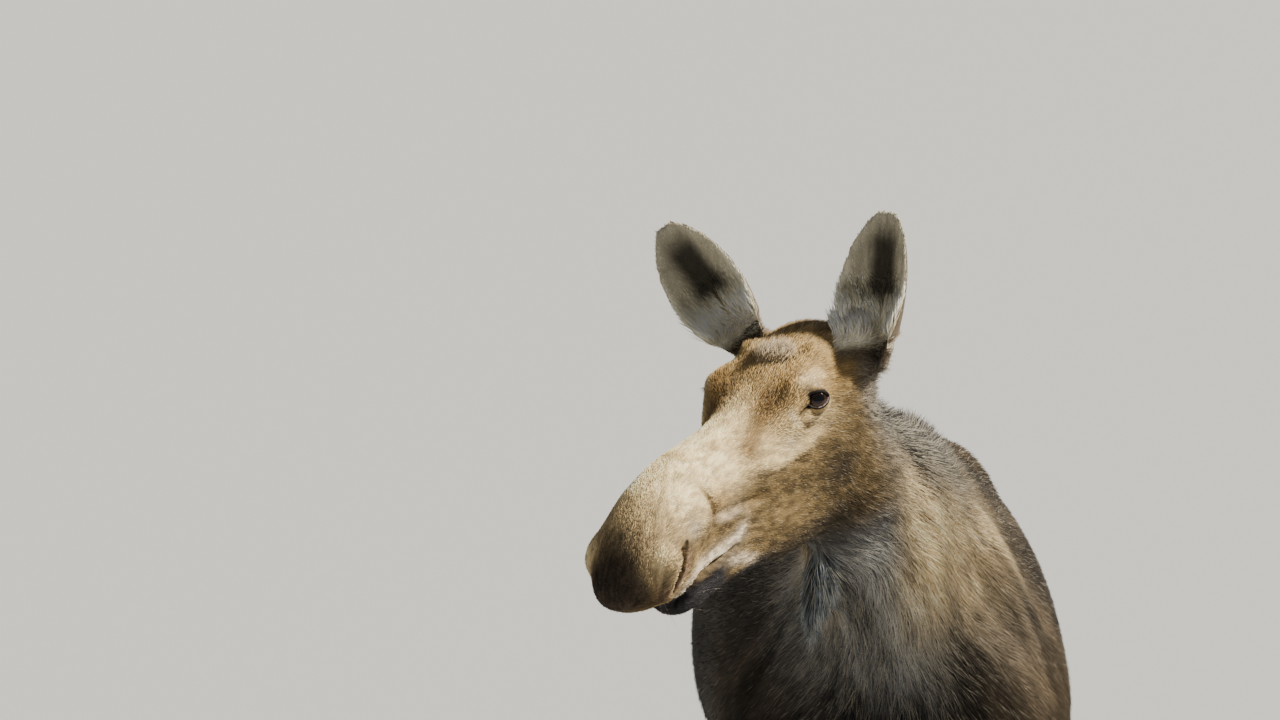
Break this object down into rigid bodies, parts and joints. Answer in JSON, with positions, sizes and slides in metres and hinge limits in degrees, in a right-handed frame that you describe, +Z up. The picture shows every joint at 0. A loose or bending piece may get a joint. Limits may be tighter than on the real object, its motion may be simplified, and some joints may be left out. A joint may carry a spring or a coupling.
{
  "type": "moose",
  "caption": "Life-size cow moose standing square on four hooves, head raised and turned to its right, ears up, in a short coat with a darker mane.",
  "frame": {"origin": "middle of the bounding box on the floor the hooves stand on", "axes": "+Z up; the trunk lies along Y with the chest towards -Y; the animal's left side is +X"},
  "size_m": [0.9162, 2.1792, 2.2513],
  "materials": {
    "coat": "short hair, matte",
    "eye": "wet gloss",
    "hoof": "smooth horn, satin"
  },
  "bodies": {
    "root": {"ear_left": "coat", "ear_right": "coat", "eye_left": "eye", "eye_right": "eye", "front_left_cannon": "coat", "front_left_dewclaw_inner": "hoof", "front_left_dewclaw_outer": "hoof", "front_left_hoof_inner": "hoof", "front_left_hoof_outer": "hoof", "front_left_leg": "coat", "front_right_cannon": "coat", "front_right_dewclaw_inner": "hoof", "front_right_dewclaw_outer": "hoof", "front_right_hoof_inner": "hoof", "front_right_hoof_outer": "hoof", "front_right_leg": "coat", "head": "coat", "hind_left_cannon": "coat", "hind_left_dewclaw_inner": "hoof", "hind_left_dewclaw_outer": "hoof", "hind_left_hoof_inner": "hoof", "hind_left_hoof_outer": "hoof", "hind_left_leg": "coat", "hind_right_cannon": "coat", "hind_right_dewclaw_inner": "hoof", "hind_right_dewclaw_outer": "hoof", "hind_right_hoof_inner": "hoof", "hind_right_hoof_outer": "hoof", "hind_right_leg": "coat", "lower_jaw": "coat", "neck": "coat", "tail": "coat", "trunk": "coat"}
  },
  "joints": []
}
